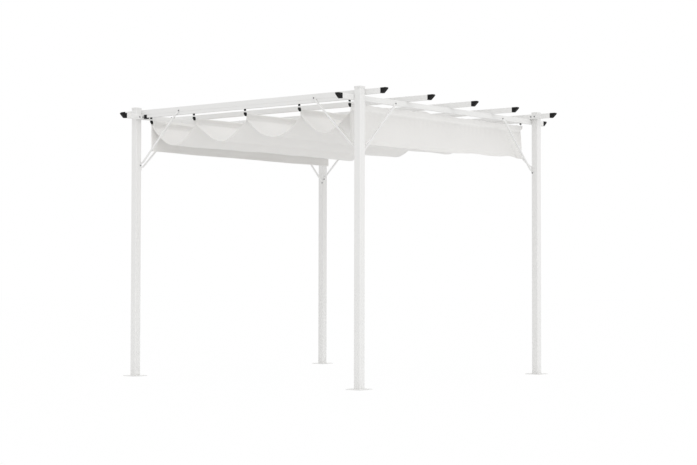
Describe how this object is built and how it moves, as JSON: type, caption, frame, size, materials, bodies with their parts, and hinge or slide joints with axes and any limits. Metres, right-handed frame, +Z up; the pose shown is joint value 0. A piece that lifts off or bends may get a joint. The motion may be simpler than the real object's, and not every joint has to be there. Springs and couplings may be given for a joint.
{
  "type": "pergola",
  "caption": "Freestanding square pergola: posts on base plates, beams, rafters and corner braces, with a cloth canopy hung in swags from bars that slides open along rails.",
  "frame": {"origin": "centre of the plan, on the ground under the base plates", "axes": "+X along the rafters and the slide rails, from the canopy's fixed end to its pulling end; +Y along the beams, from the front rail to the rear rail; +Z up"},
  "size_m": [2.93, 2.908, 2.3],
  "materials": {
    "white_frame": "white powder coat, satin",
    "white_plastic": "white moulded plastic",
    "black_plastic": "black moulded plastic",
    "canopy_cloth": "off-white woven polyester, matt",
    "bar_metal": "plain drawn tube",
    "steel_bolts": "zinc plated, dull"
  },
  "bodies": {
    "frame": {"post_front_left": "white_frame", "base_front_left": "white_frame", "rafter_brace_front_left": "white_frame", "beam_brace_front_left": "white_frame", "post_front_right": "white_frame", "base_front_right": "white_frame", "rafter_brace_front_right": "white_frame", "beam_brace_front_right": "white_frame", "post_rear_right": "white_frame", "base_rear_right": "white_frame", "rafter_brace_rear_right": "white_frame", "beam_brace_rear_right": "white_frame", "post_rear_left": "white_frame", "base_rear_left": "white_frame", "rafter_brace_rear_left": "white_frame", "beam_brace_rear_left": "white_frame", "post_caps": "white_plastic", "beam_left": "white_frame", "beam_right": "white_frame", "rafter_front": "white_frame", "rafter_2": "white_frame", "rafter_3": "white_frame", "rafter_4": "white_frame", "rafter_rear": "white_frame", "slide_rail_front": "white_frame", "slide_rail_rear": "white_frame", "rail_screws": "white_frame", "rail_lock_screws": "white_frame", "crossing_bolts": "white_frame", "foot_screws": "white_frame", "beam_end_caps": "black_plastic", "rafter_end_caps": "black_plastic", "rail_end_stops": "black_plastic", "brace_bolts": "steel_bolts", "beam_bolts": "steel_bolts", "rafter_bolts": "steel_bolts", "canopy_bar_1": "bar_metal", "carriers_1": "black_plastic", "canopy_sleeve_1": "canopy_cloth", "valance_left": "canopy_cloth"},
    "second_bar": {"canopy_bar_2": "bar_metal", "carriers_2": "black_plastic", "canopy_sleeve_2": "canopy_cloth", "canopy_panel_1": "canopy_cloth"},
    "third_bar": {"canopy_bar_3": "bar_metal", "carriers_3": "black_plastic", "canopy_sleeve_3": "canopy_cloth", "canopy_panel_2": "canopy_cloth"},
    "fourth_bar": {"canopy_bar_4": "bar_metal", "carriers_4": "black_plastic", "canopy_sleeve_4": "canopy_cloth", "canopy_panel_3": "canopy_cloth"},
    "pull_bar": {"canopy_bar_5": "bar_metal", "carriers_5": "black_plastic", "canopy_sleeve_5": "canopy_cloth", "canopy_panel_4": "canopy_cloth", "valance_right": "canopy_cloth"}
  },
  "joints": [
    {"name": "bay_1_slide", "type": "slide", "parent": "frame", "child": "second_bar", "axis": [-1, 0, 0], "range_m": [0, 0.435], "deforming": ["canopy_panel_1"]},
    {"name": "bay_2_slide", "type": "slide", "parent": "second_bar", "child": "third_bar", "axis": [-1, 0, 0], "range_m": [0, 0.505], "deforming": ["canopy_panel_2"]},
    {"name": "bay_3_slide", "type": "slide", "parent": "third_bar", "child": "fourth_bar", "axis": [-1, 0, 0], "range_m": [0, 0.505], "deforming": ["canopy_panel_3"]},
    {"name": "bay_4_slide", "type": "slide", "parent": "fourth_bar", "child": "pull_bar", "axis": [-1, 0, 0], "range_m": [0, 0.435], "deforming": ["canopy_panel_4"]}
  ]
}
